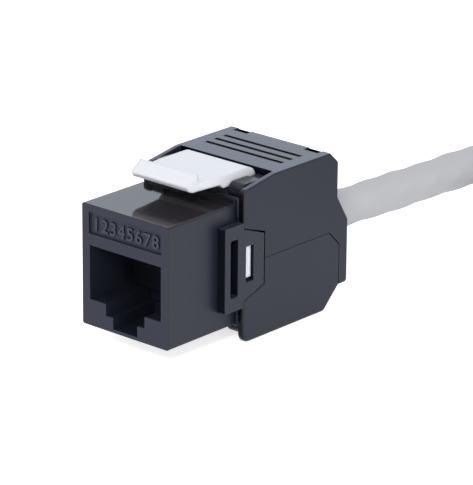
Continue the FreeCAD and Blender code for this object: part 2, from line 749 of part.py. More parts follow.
def make_wire_core():
    body = new_body("wire_core")
    top = mid_z + core_half
    low = mid_z - core_half
    block = box_loop(-d.core_half_w, d.core_half_w, low, top)
    prism(body, "XZ", [block], core_front, core_back)
    # side tabs with the nubs that show in the frame's windows
    tab_in = d.core_half_w - d.frame_wall
    tab_low = mid_z - tab_half
    tab_top = mid_z + tab_half
    tab = box_loop(tab_front, core_front + d.fit_gap, tab_low, tab_top)
    nub_top = mid_z + window_half - d.slide_gap
    nub_low = mid_z - window_half + d.nub_rise
    nub = box_loop(tab_front, tab_front + d.nub_len, nub_low, nub_top)
    for start, end in both_sides(tab_in, d.core_half_w):
        prism(body, "YZ", [tab], start, end)
    for start, end in both_sides(tab_in, nub_x):
        prism(body, "YZ", [nub], start, end)
    # upright that carries the latch's root in a round cradle
    upright = box_loop(
        root_y - d.latch_root_t,
        root_y + d.latch_root_t,
        top - d.fit_gap,
        latch_top - d.upright_drop,
    )
    prism(body, "YZ", [upright], -d.latch_half, d.latch_half)
    cradle = (root_y, root_z, d.latch_root_t + d.cradle_gap)
    prism(body, "YZ", [cradle], -d.latch_half - d.seam, d.latch_half + d.seam, cut=True)
    # wire channels and blade slots, over and under
    slot_x = d.blade_w / 2 + d.fit_gap
    slot_y = d.blade_t / 2 + d.fit_gap
    for toward in (1, -1):
        channels, slots = [], []
        for centre, row_y in channel_places():
            edges = (centre - d.channel_w / 2, centre + d.channel_w / 2)
            channels.append(box_loop(*edges, channel_front, core_back + d.seam))
            slots.append(box_loop(centre - slot_x, centre + slot_x, row_y - slot_y, row_y + slot_y))
        face = mid_z + toward * core_half
        floor = mid_z + toward * channel_half
        foot = mid_z + toward * (d.blade_low - d.fit_gap)
        over = face + toward * d.seam
        low_z, high_z = (floor, over) if toward > 0 else (over, floor)
        prism(body, "XY", channels, low_z, high_z, cut=True)
        low_z, high_z = (foot, over) if toward > 0 else (over, foot)
        prism(body, "XY", slots, low_z, high_z, cut=True)


def make_latch():
    body = new_body("keystone_latch")
    under = latch_top - d.latch_t
    step_y = d.housing_len - d.latch_t / 2
    outline = [
        (nose_y, nose_z, d.housing_round),
        (nose_y + d.lip_len, under + d.lip_rise, d.housing_round),
        (nose_y + d.latch_t, under),
        (step_y, under),
        (step_y + d.latch_t / 2, root_z, d.housing_round),
        (root_y, root_z),
        (root_y, latch_top),
        (tip_y + d.seam * 2, latch_top),
        (tip_y, tip_z, d.tip_round),
    ]
    prism(body, "YZ", [outline], -d.latch_half, d.latch_half)
    prism(body, "YZ", [(root_y, root_z, d.latch_root_t)], -d.latch_half, d.latch_half)
    # the plate narrows towards its nose
    cuts = []
    for turn in (1, -1):
        cuts.append(
            [
                (turn * latch_nose_x, nose_y - d.seam),
                (turn * (d.latch_half + d.seam), nose_y - d.seam),
                (turn * (d.latch_half + d.seam), step_y),
                (turn * d.latch_half, step_y),
                (turn * latch_nose_x, tip_y),
            ]
        )
    prism(body, "XY", cuts, root_z - d.seam, tip_z + d.seam, cut=True)


def contact_places():
    for i in range(8):
        yield i + 1, (i - 3.5) * d.contact_pitch


def make_contact_carrier():
    body = new_body("contact_carrier")
    front = d.front_wall + d.fit_gap
    back = board_y - d.fit_gap
    face = port_end
    low = d.port_floor + d.fit_gap
    top = loft_top - d.fit_gap
    comb_low = port_top + d.slide_gap
    outline = [
        (front, comb_low),
        (face, comb_low),
        (face, low),
        (back, low),
        (back, top),
        (front, top),
    ]
    prism(body, "YZ", [outline], -carrier_x, carrier_x)
    slots = []
    for _, centre in contact_places():
        edges = (centre - d.comb_w / 2, centre + d.comb_w / 2)
        slots.append(box_loop(*edges, d.front_wall + d.contact_t, face - d.contact_t))
    prism(body, "XY", slots, comb_low - d.seam, comb_top, cut=True)
    bores = []
    for _, centre in contact_places():
        edges = (centre - d.contact_w / 2 - d.fit_gap, centre + d.contact_w / 2 + d.fit_gap)
        low_z = contact_run_z - d.fit_gap
        bores.append(box_loop(*edges, low_z, contact_run_z + d.contact_t + d.fit_gap))
    prism(body, "XZ", bores, face - d.contact_t * 2, back + d.seam, cut=True)


def make_contact_springs():
    """Each spring is one bent strip: pin, upper run, front bend and the run down to its end."""
    for number, centre in contact_places():
        body = new_body(f"contact_spring_{number}")
        pin = board_y + d.board_t / 2
        run = contact_run_z
        nose = d.contact_nose
        nose_z = port_top - d.contact_t
        strip = [
            (pin, run + d.contact_t),
            (nose + d.contact_t, run + d.contact_t),
            (nose - d.contact_t, run - d.contact_t),
            (nose - d.contact_t, nose_z + d.contact_t / 2),
            (nose, nose_z - d.contact_t),
            (contact_tip_y, contact_tip_z),
            (contact_tip_y, contact_tip_z + d.contact_t),
            (nose + d.contact_t / 2, nose_z),
            (nose, nose_z + d.contact_t),
            (nose, run - d.contact_t * 1.5),
            (nose + d.contact_t, run),
            (pin, run),
        ]
        half = d.contact_w / 2
        prism(body, "YZ", [strip], centre - half, centre + half)


def make_board():
    body = new_body("circuit_board")
    board_x = inner_x - d.board_side_gap
    outline = box_loop(-board_x, board_x, mid_z - board_half, mid_z + board_half)
    prism(body, "XZ", [outline], board_y, board_y + d.board_t)
    holes = []
    for _, centre in contact_places():
        edges = (centre - d.contact_w / 2 - d.fit_gap, centre + d.contact_w / 2 + d.fit_gap)
        low_z = contact_run_z - d.fit_gap
        holes.append(box_loop(*edges, low_z, contact_run_z + d.contact_t + d.fit_gap))
    prism(body, "XZ", holes, board_y - d.seam, board_y + d.board_t + d.seam, cut=True)


def make_blades():
    """Forked plates that cut into the wires, four over and four under the parting plane."""
    number = 0
    for toward in (1, -1):
        for centre, row_y in channel_places():
            number += 1
            body = new_body(f"idc_blade_{number}")
            half = d.blade_w / 2
            gap = d.blade_gap / 2
            mouth = gap * 2
            heights = (d.blade_low, channel_half - d.blade_gap, blade_half - gap, blade_half)
            foot, root, bevel, tip = (mid_z + toward * h for h in heights)
            fork = [
                (centre - half, foot),
                (centre + half, foot),
                (centre + half, tip),
                (centre + mouth, tip),
                (centre + gap, bevel),
                (centre + gap, root),
                (centre - gap, root),
                (centre - gap, bevel),
                (centre - mouth, tip),
                (centre - half, tip),
            ]
            prism(body, "XZ", [fork], row_y - d.blade_t / 2, row_y + d.blade_t / 2)


def bent_path(points):
    """Straight runs joined by tangent arcs, each almost as large as its runs allow."""
    share = 0.45
    edges = []
    here = points[0]
    radii = []
    for before, corner, after in zip(points, points[1:], points[2:]):
        back = before - corner
        ahead = after - corner
        half_turn = (math.pi - back.getAngle(ahead)) / 2
        cut = share * min(back.Length, ahead.Length)
        radius = cut / math.tan(half_turn)
        back.normalize()
        ahead.normalize()
        start = corner + back * cut
        end = corner + ahead * cut
        inward = back + ahead
        inward.normalize()
        reach = radius / math.cos(half_turn) - radius
        edges.append(Part.LineSegment(here, start).toShape())
        edges.append(Part.Arc(start, corner + inward * reach, end).toShape())
        here = end
        radii.append(round(radius))
    edges.append(Part.LineSegment(here, points[-1]).toShape())
    return Part.Wire(edges), radii


def make_tube(label, path, radius):
    """A round tube along a path, with mitred corners where the path has corners."""
    start = path.OrderedVertexes[0].Point
    heading = path.OrderedVertexes[1].Point - start
    ring = Part.Wire([Part.Circle(start, heading, radius).toShape()])
    shape = path.makePipeShell([ring], True, False, 1)
    expected = math.pi * radius**2 * path.Length
    if not 0.98 < shape.Volume / expected < 1.02:
        raise RuntimeError(f"{label} isn't its section times its length")
    tube = doc.addObject("Part::Feature", label)
    tube.Shape = shape
    return tube


def make_conductors():
    """Eight insulated wires from the jacket's end to their channels."""
    start_y = jacket_front.value
    wire_r = d.wire_d.value / 2
    rest = channel_half.value + d.fit_gap.value + wire_r
    ring = d.fan_r.value
    number = 0
    for toward in (1, -1):
        for i, (centre, _) in enumerate(channel_places()):
            number += 1
            turn = toward * math.pi * (1 - (i + 0.5) / 4)
            x0 = ring * math.cos(turn)
            z0 = cable_z.value + ring * math.sin(turn)
            z1 = mid_z.value + toward * rest
            lead = d.fan_lead.value
            points = [
                FreeCAD.Vector(x0, start_y, z0),
                FreeCAD.Vector(x0, start_y - lead, z0),
                FreeCAD.Vector(centre.value, core_back.value + lead, z1),
                FreeCAD.Vector(centre.value, channel_front.value + d.seam.value * 2, z1),
            ]
            label = f"conductor_{number}"
            place(make_tube(label, Part.makePolygon(points), wire_r), label)


def make_jacket_end():
    body = new_body("cable_jacket_end")
    prism(body, "XZ", [(0, cable_z, cable_r)], jacket_front, door_back)


def cable_route():
    """Chosen points of the cable behind the jack, in the jack's own frame."""
    exit_z = cable_z.value + base_z.value
    coil_z = d.cable_d.value * 2 - cable_r.value
    reach = d.coil_y.value - half_depth.value
    points = [FreeCAD.Vector(0, half_depth.value, exit_z)]
    for along, height in CABLE_LIE:
        y = half_depth.value + along * reach
        points.append(FreeCAD.Vector(0, y, coil_z + height * (exit_z - coil_z)))
    return points


def make_cable():
    path, radii = bent_path(cable_route())
    run = make_tube("cable_run", path, cable_r.value)
    run.Label = "cable_run"
    NODES.append(run)
    coil = doc.addObject("PartDesign::Body", "cable_coil")
    coil.Label = "cable_coil"
    NODES.append(coil)
    loops = [
        (d.coil_r, d.coil_y, d.coil_r + cable_r),
        (d.coil_r, d.coil_y, d.coil_r - cable_r),
    ]
    prism(coil, "XY", loops, 0, d.cable_d * 2)
    print("cable run", round(path.Length, 1), "mm, bend radii", radii)


def write_parts():
    os.makedirs("parts", exist_ok=True)
    doc.recompute()
    for item in doc.Objects:
        if "Invalid" in item.State or "Error" in item.State:
            raise RuntimeError(f"{item.Label} failed")
    triangles = 0
    for node in NODES:
        if node.Shape.isNull() or not node.Shape.isValid():
            raise RuntimeError(f"{node.Label} has no valid shape")
    for node in NODES:
        node.Shape.exportStep(f"parts/{node.Label}.step")
        triangles += len(node.Shape.tessellate(0.1)[1])
    print(len(NODES), "nodes,", triangles, "triangles")


make_front_housing()
make_rear_frame()
make_upper_door()
make_lower_door()
make_wire_core()
make_latch()
make_contact_carrier()
make_contact_springs()
make_board()
make_blades()
make_jacket_end()
make_conductors()
make_cable()
write_parts()
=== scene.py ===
import math

import bmesh
import bpy
from mathutils import Matrix, Vector


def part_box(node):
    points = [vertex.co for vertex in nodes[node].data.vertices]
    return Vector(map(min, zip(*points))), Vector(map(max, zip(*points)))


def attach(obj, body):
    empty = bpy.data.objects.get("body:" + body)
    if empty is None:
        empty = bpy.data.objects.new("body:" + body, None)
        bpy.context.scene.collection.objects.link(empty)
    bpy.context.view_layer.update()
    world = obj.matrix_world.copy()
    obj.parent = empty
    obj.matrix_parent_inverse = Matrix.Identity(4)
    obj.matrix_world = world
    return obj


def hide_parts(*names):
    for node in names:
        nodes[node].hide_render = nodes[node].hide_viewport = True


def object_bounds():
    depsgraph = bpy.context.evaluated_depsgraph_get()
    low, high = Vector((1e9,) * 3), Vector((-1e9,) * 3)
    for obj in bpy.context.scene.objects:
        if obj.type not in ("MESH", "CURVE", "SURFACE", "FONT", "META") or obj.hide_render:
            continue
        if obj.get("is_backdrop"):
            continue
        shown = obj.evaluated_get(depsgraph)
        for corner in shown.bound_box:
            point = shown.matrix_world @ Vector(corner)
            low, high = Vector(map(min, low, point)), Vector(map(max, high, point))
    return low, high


MM = 0.001
CONTACTS = 8

# The frame, and the CAD model's own box
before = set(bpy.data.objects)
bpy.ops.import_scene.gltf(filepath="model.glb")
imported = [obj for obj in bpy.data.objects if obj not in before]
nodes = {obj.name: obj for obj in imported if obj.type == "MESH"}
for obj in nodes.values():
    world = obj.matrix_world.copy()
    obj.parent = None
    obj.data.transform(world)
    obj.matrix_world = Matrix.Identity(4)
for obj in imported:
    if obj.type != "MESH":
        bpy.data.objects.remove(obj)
cad_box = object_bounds()

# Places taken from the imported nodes, in metres
housing_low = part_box("front_housing")[0]
board_low, board_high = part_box("circuit_board")
jacket_low, jacket_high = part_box("cable_jacket_end")
coil_low, coil_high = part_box("cable_coil")
cable_d = jacket_high.x - jacket_low.x
cable_exit = Vector((0, jacket_high.y, (jacket_low.z + jacket_high.z) / 2))


# Camera

AZIMUTH = math.radians(41.239)
ELEVATION = math.radians(19.699)
ROLL = math.radians(0.492)
LOOK_AT = Vector((4.949, -1.18, 11.991)) * MM
DISTANCE = 407.945 * MM
FOCAL_PIXELS = 3258.03
PHOTO_WIDTH = 473


def make_camera():
    """The camera of the photograph, from its angles, distance and focal length in pixels."""
    back = Vector(
        (
            math.sin(AZIMUTH) * math.cos(ELEVATION),
            -math.cos(AZIMUTH) * math.cos(ELEVATION),
            math.sin(ELEVATION),
        )
    )
    level = Vector((math.cos(AZIMUTH), math.sin(AZIMUTH), 0))
    upright = back.cross(level)
    right = level * math.cos(ROLL) + upright * math.sin(ROLL)
    up = back.cross(right)
    data = bpy.data.cameras.new("camera")
    data.sensor_fit = "HORIZONTAL"
    data.sensor_width = 36
    data.lens = FOCAL_PIXELS * data.sensor_width / PHOTO_WIDTH
    data.clip_start = 0.01
    data.clip_end = 20
    camera = bpy.data.objects.new("camera", data)
    turn = Matrix((right, up, back)).transposed().to_4x4()
    camera.matrix_world = Matrix.Translation(LOOK_AT + back * DISTANCE) @ turn
    bpy.context.scene.collection.objects.link(camera)
    bpy.context.scene.camera = camera


# Shader building blocks


def new_material(name):
    """A material, its node tree and the shader in it."""
    material = bpy.data.materials.new(name)
    material.use_nodes = True
    tree = material.node_tree
    return material, tree, tree.nodes["Principled BSDF"]


def add_node(tree, kind, **settings):
    """Adds a shader node; a setting names a property or an input socket."""
    node = tree.nodes.new(kind)
    for name, value in settings.items():
        if hasattr(node, name):
            setattr(node, name, value)
        else:
            node.inputs[name.replace("_", " ")].default_value = value
    return node


def compute(tree, operation, *values):
    """The outlet of a math node whose values are outlets or plain numbers."""
    node = add_node(tree, "ShaderNodeMath", operation=operation)
    for socket, value in zip(node.inputs, values):
        if isinstance(value, bpy.types.NodeSocket):
            tree.links.new(value, socket)
        else:
            socket.default_value = value
    return node.outputs[0]


def new_group(name, inputs, outputs):
    """A shader node group with named inputs {name: (kind, default)} and outputs {name: kind}."""
    tree = bpy.data.node_groups.new(name, "ShaderNodeTree")
    for socket, (kind, default) in inputs.items():
        item = tree.interface.new_socket(name=socket, in_out="INPUT", socket_type=kind)
        item.default_value = default
    for socket, kind in outputs.items():
        tree.interface.new_socket(name=socket, in_out="OUTPUT", socket_type=kind)
    return tree, tree.nodes.new("NodeGroupInput"), tree.nodes.new("NodeGroupOutput")


def make_moulded_skin():
    """Fine grain of a moulded surface: a height, a roughness and a tinted colour."""
    inputs = {
        "Color": ("NodeSocketColor", (0.5, 0.5, 0.5, 1)),
        "Roughness": ("NodeSocketFloat", 0.4),
        "Roughness Spread": ("NodeSocketFloat", 0.06),
        "Grain Scale": ("NodeSocketFloat", 9000.0),
        "Grain Depth": ("NodeSocketFloat", 1.0),
        "Tone Spread": ("NodeSocketFloat", 0.08),
    }
    outputs = {
        "Color": "NodeSocketColor",
        "Roughness": "NodeSocketFloat",
        "Height": "NodeSocketFloat",
    }
    tree, given, result = new_group("moulded_skin", inputs, outputs)
    link = tree.links.new
    place = add_node(tree, "ShaderNodeTexCoord").outputs["Object"]
    grain = add_node(tree, "ShaderNodeTexNoise", Detail=3.0, Roughness=0.6)
    link(place, grain.inputs["Vector"])
    link(given.outputs["Grain Scale"], grain.inputs["Scale"])
    cloud = add_node(tree, "ShaderNodeTexNoise", Scale=160.0, Detail=4.0, Roughness=0.55)
    link(place, cloud.inputs["Vector"])
    height = compute(tree, "MULTIPLY", grain.outputs["Fac"], given.outputs["Grain Depth"])
    link(height, result.inputs["Height"])
    mottle = compute(tree, "SUBTRACT", cloud.outputs["Fac"], 0.5)
    spread = given.outputs["Roughness Spread"]
    rough = compute(tree, "MULTIPLY_ADD", mottle, spread, given.outputs["Roughness"])
    link(rough, result.inputs["Roughness"])
    tone = compute(tree, "MULTIPLY_ADD", mottle, given.outputs["Tone Spread"], 1.0)
    tint = add_node(tree, "ShaderNodeVectorMath", operation="SCALE")
    link(given.outputs["Color"], tint.inputs[0])
    link(tone, tint.inputs["Scale"])
    link(tint.outputs[0], result.inputs["Color"])
    return tree


def make_soft_edge():
    """Rounds the shading of sharp corners over a small radius, on top of a bump height."""
    inputs = {
        "Radius": ("NodeSocketFloat", 0.12 * MM),
        "Height": ("NodeSocketFloat", 0.0),
        "Strength": ("NodeSocketFloat", 0.2),
        "Distance": ("NodeSocketFloat", 0.01 * MM),
    }
    outputs = {"Normal": "NodeSocketVector"}
    tree, given, result = new_group("soft_edge", inputs, outputs)
    link = tree.links.new
    corner = add_node(tree, "ShaderNodeBevel", samples=6)
    link(given.outputs["Radius"], corner.inputs["Radius"])
    bump = add_node(tree, "ShaderNodeBump")
    for socket in ("Height", "Strength", "Distance"):
        link(given.outputs[socket], bump.inputs[socket])
    link(corner.outputs["Normal"], bump.inputs["Normal"])
    link(bump.outputs["Normal"], result.inputs["Normal"])
    return tree


# For each mask its name, the normal's axis, and where along it the mask begins and is whole
FACING_MASKS = (("Up", "Z", 0.92, 0.97), ("Forward", "Y", -0.6, -0.9))


# These masks lay painted light on faces that look up and painted shade on faces that look forward
def make_facing():
    """Masks of the faces that look up and forward on a piece in its rest place."""
    outputs = {name: "NodeSocketFloat" for name, axis, low, high in FACING_MASKS}
    tree, _, result = new_group("facing", {}, outputs)
    split = add_node(tree, "ShaderNodeSeparateXYZ")
    tree.links.new(add_node(tree, "ShaderNodeTexCoord").outputs["Normal"], split.inputs[0])
    for name, axis, low, high in FACING_MASKS:
        mask = add_node(tree, "ShaderNodeMapRange")
        mask.inputs["From Min"].default_value = low
        mask.inputs["From Max"].default_value = high
        tree.links.new(split.outputs[axis], mask.inputs["Value"])
        tree.links.new(mask.outputs[0], result.inputs[name])
    return tree


def make_box_mask():
    """A mask of what lies in a box, by its centre and half size in the piece's own coordinates."""
    inputs = {
        "Centre": ("NodeSocketVector", (0, 0, 0)),
        "Half Size": ("NodeSocketVector", (1, 1, 1)),
    }
    tree, given, result = new_group("box_mask", inputs, {"Mask": "NodeSocketFloat"})
    link = tree.links.new
    shift = add_node(tree, "ShaderNodeVectorMath", operation="SUBTRACT")
    link(add_node(tree, "ShaderNodeTexCoord").outputs["Object"], shift.inputs[0])
    link(given.outputs["Centre"], shift.inputs[1])
    away = add_node(tree, "ShaderNodeVectorMath", operation="ABSOLUTE")
    link(shift.outputs[0], away.inputs[0])
    inside = add_node(tree, "ShaderNodeVectorMath", operation="SUBTRACT")
    link(given.outputs["Half Size"], inside.inputs[0])
    link(away.outputs[0], inside.inputs[1])
    split = add_node(tree, "ShaderNodeSeparateXYZ")
    link(inside.outputs[0], split.inputs[0])
    least = split.outputs["X"]
    for axis in ("Y", "Z"):
        least = compute(tree, "MINIMUM", least, split.outputs[axis])
    link(compute(tree, "GREATER_THAN", least, 0.0), result.inputs["Mask"])
    return tree


MOULDED_SKIN = make_moulded_skin()
SOFT_EDGE = make_soft_edge()
FACING = make_facing()
BOX_MASK = make_box_mask()


def place_group(tree, group, values):
    """A group's node in a material, with its own values."""
    node = tree.nodes.new("ShaderNodeGroup")
    node.node_tree = group
    for name, value in values.items():
        node.inputs[name].default_value = value
    return node


def finish_plastic(tree, shader, skin, edge):
    """Gives a shader the skin's colour, roughness and grain, with softened edges."""
    link = tree.links.new
    edges = place_group(tree, SOFT_EDGE, {"Radius": edge})
    link(skin.outputs["Color"], shader.inputs["Base Color"])
    link(skin.outputs["Roughness"], shader.inputs["Roughness"])
    link(skin.outputs["Height"], edges.inputs["Height"])
    link(edges.outputs["Normal"], shader.inputs["Normal"])


def moulded_plastic(name, color, rough, grain_depth, edge, tone=0.08):
    """A moulded plastic with its grain, slight mottling and softened edges."""
    material, tree, shader = new_material(name)
    skin = place_group(
        tree,
        MOULDED_SKIN,
        {
            "Color": (*color, 1),
            "Roughness": rough,
            "Grain Depth": grain_depth,
            "Tone Spread": tone,
        },
    )
    finish_plastic(tree, shader, skin, edge)
    return material


# Radius to which the shading of a black moulding's edges is rounded
BLACK_EDGE = 0.12 * MM

# Finishes of the black mouldings: colour, roughness and depth of grain; some of the colours hold
# painted light or painted shade, as said above each one that does
SATIN = ((0.024, 0.027, 0.039), 0.42, 0.8)
HOUSING_SIDE = ((0.010, 0.0125, 0.023), 0.42, 0.8)
# Painted shade: faces that look forward get a near-black colour that stands in for the dark surround
# they reflect
SHADED_FRONT_GLOSS = ((0.002, 0.0025, 0.005), 0.2, 0.15)
# Painted shade on the forward faces of the frame's arms, for the dark surround they reflect
SHADED_ARM_FRONT = ((0.0055, 0.0068, 0.0115), 0.2, 0.15)
# Painted light and a painted brown tint of the latch's reflection on the housing's top, over its
# real polish
LIT_TOP_POLISH = ((0.020, 0.0175, 0.021), 0.07, 0.1)
FRONT_GRAIN = ((0.0140, 0.0175, 0.035), 0.5, 5.0)
# Painted light: the door's top plate is coloured much lighter than its sides, over its real grain
LIT_PLATE_GRAIN = ((0.094, 0.105, 0.143), 0.3, 9.0)
# Painted shade: a near-black colour on the numbers' flanks, round their grained faces
SHADED_NUMBER_FLANK = ((0.004, 0.005, 0.009), 0.15, 0.1)
PORT_POLISH = ((0.012, 0.0145, 0.0235), 0.3, 0.5)
# Painted shade: a black colour in the label recess and the finger grooves, where shade falls
GROOVE_SHADE = ((0.002, 0.002, 0.003), 0.6, 0.1)
FRAME_SATIN = ((0.026, 0.0285, 0.040), 0.2, 0.2)


def box_mask(tree, low, high):
    """The mask of a box between two corners given in millimetres."""
    low = Vector(low) * MM
    high = Vector(high) * MM
    box = {"Centre": (low + high) / 2, "Half Size": (high - low) / 2}
    return place_group(tree, BOX_MASK, box).outputs["Mask"]


def layered_plastic(name, base, layers, edge, grain_scale=7000.0, specular=0.16):
    """A black moulding whose finish, painted light and painted shade change from face to face.

    The layers are made by a function of the tree, as pairs of a mask and a finish, and each
    lies over those before it.
    """
    material, tree, shader = new_material(name)
    link = tree.links.new
    skin = place_group(tree, MOULDED_SKIN, {"Grain Scale": grain_scale, "Tone Spread": 0.1})
    kinds = (("Color", "RGBA"), ("Roughness", "FLOAT"), ("Grain Depth", "FLOAT"))
    for (socket, kind), value in zip(kinds, base):
        skin.inputs[socket].default_value = (*value, 1) if kind == "RGBA" else value
    for mask, finish in layers(tree):
        for (socket, kind), value in zip(kinds, finish):
            blend = add_node(tree, "ShaderNodeMix", data_type=kind)
            factor, before, after = [item for item in blend.inputs if item.enabled]
            after.default_value = (*value, 1) if kind == "RGBA" else value
            target = skin.inputs[socket]
            if target.is_linked:
                link(target.links[0].from_socket, before)
            else:
                before.default_value = target.default_value
            link(mask, factor)
            outlet = [item for item in blend.outputs if item.enabled][0]
            link(outlet, target)
    finish_plastic(tree, shader, skin, edge)
    shader.inputs["Specular IOR Level"].default_value = specular
    return material


# Boxes of the housing's finishes, in millimetres: half widths, spans in height and depths
# behind the front face; FAR lies past every side of the jack
FAR = 40
FRONT_SKIN = 0.6
RECESS_SKIN = 0.35
# The label recess's box also bounds the painted shade laid in it
RECESS_HALF_W = 6.15
RECESS_SPAN = (14.5, 17.4)
PORT_HALF_W = 6.1
PORT_SPAN = (2.7, 16.75)


def housing_layers(tree):
    """Polished top with painted light and a painted reflection tint, grained front, a rim darkened
    by painted shade, painted shade in the label recess, and polished inside of the plug's opening.
    """
    facing = place_group(tree, FACING, {})
    front_y = housing_low.y / MM
    recess_y = front_y + RECESS_SKIN
    front_slab = box_mask(tree, (-FAR, -FAR, -FAR), (FAR, front_y + FRONT_SKIN, FAR))
    recess = box_mask(
        tree,
        (-RECESS_HALF_W, -FAR, RECESS_SPAN[0]),
        (RECESS_HALF_W, recess_y, RECESS_SPAN[1]),
    )
    port = box_mask(tree, (-PORT_HALF_W, recess_y, PORT_SPAN[0]), (PORT_HALF_W, FAR, PORT_SPAN[1]))
    # Painted light and a painted reflection tint on the housing's top faces
    yield facing.outputs["Up"], LIT_TOP_POLISH
    # Painted shade in the label recess
    yield recess, GROOVE_SHADE
    # Painted shade on the housing's forward faces
    yield facing.outputs["Forward"], SHADED_FRONT_GLOSS
    yield compute(tree, "MULTIPLY", facing.outputs["Forward"], front_slab), FRONT_GRAIN
    yield port, PORT_POLISH


def number_layers(tree):
    """Painted shade on the flanks round the grained faces of the raised numbers."""
    yield place_group(tree, FACING, {}).outputs["Forward"], FRONT_GRAIN


# The finger grooves in the top plate, where painted shade darkens them, in millimetres
GROOVE_PLACES = (5.76, 7.525, 9.29)
GROOVE_REACH = 6.46
GROOVE_HALF_W = 0.36
GROOVE_SPAN = (20.5, 21.5)


def door_layers(tree):
    """Grained plate with painted light, front ends darkened by painted shade, and painted shade in
    the finger grooves.
    """
    facing = place_group(tree, FACING, {})
    # Painted shade on the doors' front ends
    yield facing.outputs["Forward"], SHADED_FRONT_GLOSS
    # Painted light on the door's top plate
    yield facing.outputs["Up"], LIT_PLATE_GRAIN
    # Painted shade in each finger groove
    for place in GROOVE_PLACES:
        low = (-GROOVE_REACH, place - GROOVE_HALF_W, GROOVE_SPAN[0])
        high = (GROOVE_REACH, place + GROOVE_HALF_W, GROOVE_SPAN[1])
        yield box_mask(tree, low, high), GROOVE_SHADE


def frame_layers(tree):
    """Satin sides, and glossy front faces darkened by painted shade."""
    # Painted shade on the arms' front faces
    yield place_group(tree, FACING, {}).outputs["Forward"], SHADED_ARM_FRONT


WHITE_EDGE = 0.4 * MM
WHITE_GLOW_DEPTH = 0.6 * MM


def white_plastic(name, color, rough):
    """Slightly translucent white plastic of the latch and the core."""
    material = moulded_plastic(name, color, rough, 0.35, WHITE_EDGE, tone=0.02)
    shader = material.node_tree.nodes["Principled BSDF"]
    shader.inputs["Subsurface Weight"].default_value = 0.25
    shader.inputs["Subsurface Radius"].default_value = (WHITE_GLOW_DEPTH,) * 3
    shader.inputs["Subsurface Scale"].default_value = 1.0
    return material


# Drawing lines of the plating: their darkest tone, their scale along the strip, and how much
# smoother and rougher than the rest they are
LINE_TONE = 0.82
LINE_SCALE = 400.0
LINE_SMOOTHER = 0.05
LINE_ROUGHER = 0.08


def plated_metal(name, color, rough, scale_across):
    """Thin plating over stamped metal, with faint drawing lines along the strip."""
    material, tree, shader = new_material(name)
    link = tree.links.new
    place = add_node(tree, "ShaderNodeTexCoord").outputs["Object"]
    stretch = add_node(tree, "ShaderNodeMapping", Scale=(scale_across, LINE_SCALE, scale_across))
    link(place, stretch.inputs["Vector"])
    lines = add_node(tree, "ShaderNodeTexNoise", Scale=1.0, Detail=3.0)
    link(stretch.outputs[0], lines.inputs["Vector"])
    shade = add_node(tree, "ShaderNodeValToRGB")
    shade.color_ramp.elements[0].color = (*(c * LINE_TONE for c in color), 1)
    shade.color_ramp.elements[1].color = (*color, 1)
    link(lines.outputs["Fac"], shade.inputs["Fac"])
    link(shade.outputs["Color"], shader.inputs["Base Color"])
    spread = add_node(tree, "ShaderNodeMapRange")
    spread.inputs["To Min"].default_value = rough - LINE_SMOOTHER
    spread.inputs["To Max"].default_value = rough + LINE_ROUGHER
    link(lines.outputs["Fac"], spread.inputs["Value"])
    link(spread.outputs[0], shader.inputs["Roughness"])
    shader.inputs["Metallic"].default_value = 1.0
    edges = place_group(tree, SOFT_EDGE, {"Radius": 0.05 * MM, "Strength": 0.1})
    link(lines.outputs["Fac"], edges.inputs["Height"])
    link(edges.outputs["Normal"], shader.inputs["Normal"])
    return material


WEAVE_PITCH = 0.5 * MM


def solder_mask():
    """Green solder mask of the board, over woven glass cloth."""
    material, tree, shader = new_material("board")
    link = tree.links.new
    place = add_node(tree, "ShaderNodeTexCoord").outputs["Object"]
    split = add_node(tree, "ShaderNodeSeparateXYZ")
    link(place, split.inputs[0])
    threads = []
    for axis in ("X", "Z"):
        angle = compute(tree, "MULTIPLY", split.outputs[axis], 2 * math.pi / WEAVE_PITCH)
        threads.append(compute(tree, "SINE", angle))
    weave = compute(tree, "MULTIPLY", *threads)
    shade = add_node(tree, "ShaderNodeValToRGB")
    shade.color_ramp.elements[0].color = (0.010, 0.085, 0.032, 1)
    shade.color_ramp.elements[1].color = (0.020, 0.150, 0.060, 1)
    link(weave, shade.inputs["Fac"])
    link(shade.outputs["Color"], shader.inputs["Base Color"])
    bump = add_node(tree, "ShaderNodeBump", Strength=0.15, Distance=0.01 * MM)
    link(weave, bump.inputs["Height"])
    link(bump.outputs["Normal"], shader.inputs["Normal"])
    shader.inputs["Roughness"].default_value = 0.28
    return material


# Bands of the wires: their scale along the wire, and how much of each wave stays white
BAND_SCALE = 230.0
BAND_START = 0.7
WIRE_WHITE = (0.80, 0.80, 0.78)
WIRE_ROUGH = 0.3


def striped_insulation(name, color, white):
    """Insulation of one wire: a plain colour, or white with bands of the colour."""
    material, tree, shader = new_material(name)
    link = tree.links.new
    place = add_node(tree, "ShaderNodeTexCoord").outputs["Object"]
    if white:
        bands = add_node(tree, "ShaderNodeTexWave", Scale=BAND_SCALE, Distortion=0.0)
        bands.bands_direction = "Y"
        link(place, bands.inputs["Vector"])
        ramp = add_node(tree, "ShaderNodeValToRGB")
        ramp.color_ramp.interpolation = "CONSTANT"
        ramp.color_ramp.elements[0].color = (*WIRE_WHITE, 1)
        ramp.color_ramp.elements[1].color = (*color, 1)
        ramp.color_ramp.elements[1].position = BAND_START
        link(bands.outputs["Fac"], ramp.inputs["Fac"])
        link(ramp.outputs["Color"], shader.inputs["Base Color"])
    else:
        skin = place_group(tree, MOULDED_SKIN, {"Color": (*color, 1), "Roughness": WIRE_ROUGH})
        link(skin.outputs["Color"], shader.inputs["Base Color"])
        link(skin.outputs["Roughness"], shader.inputs["Roughness"])
    shader.inputs["Roughness"].default_value = WIRE_ROUGH
    return material


JACKET_GREY = (0.53, 0.534, 0.547)
JACKET_ROUGH = 0.5
# Streaks drawn along the jacket: how the jacket's own map is stretched, and how much they darken
STREAK_STRETCH = (9.0, 60.0, 1.0)
STREAK_WEIGHT = 0.12


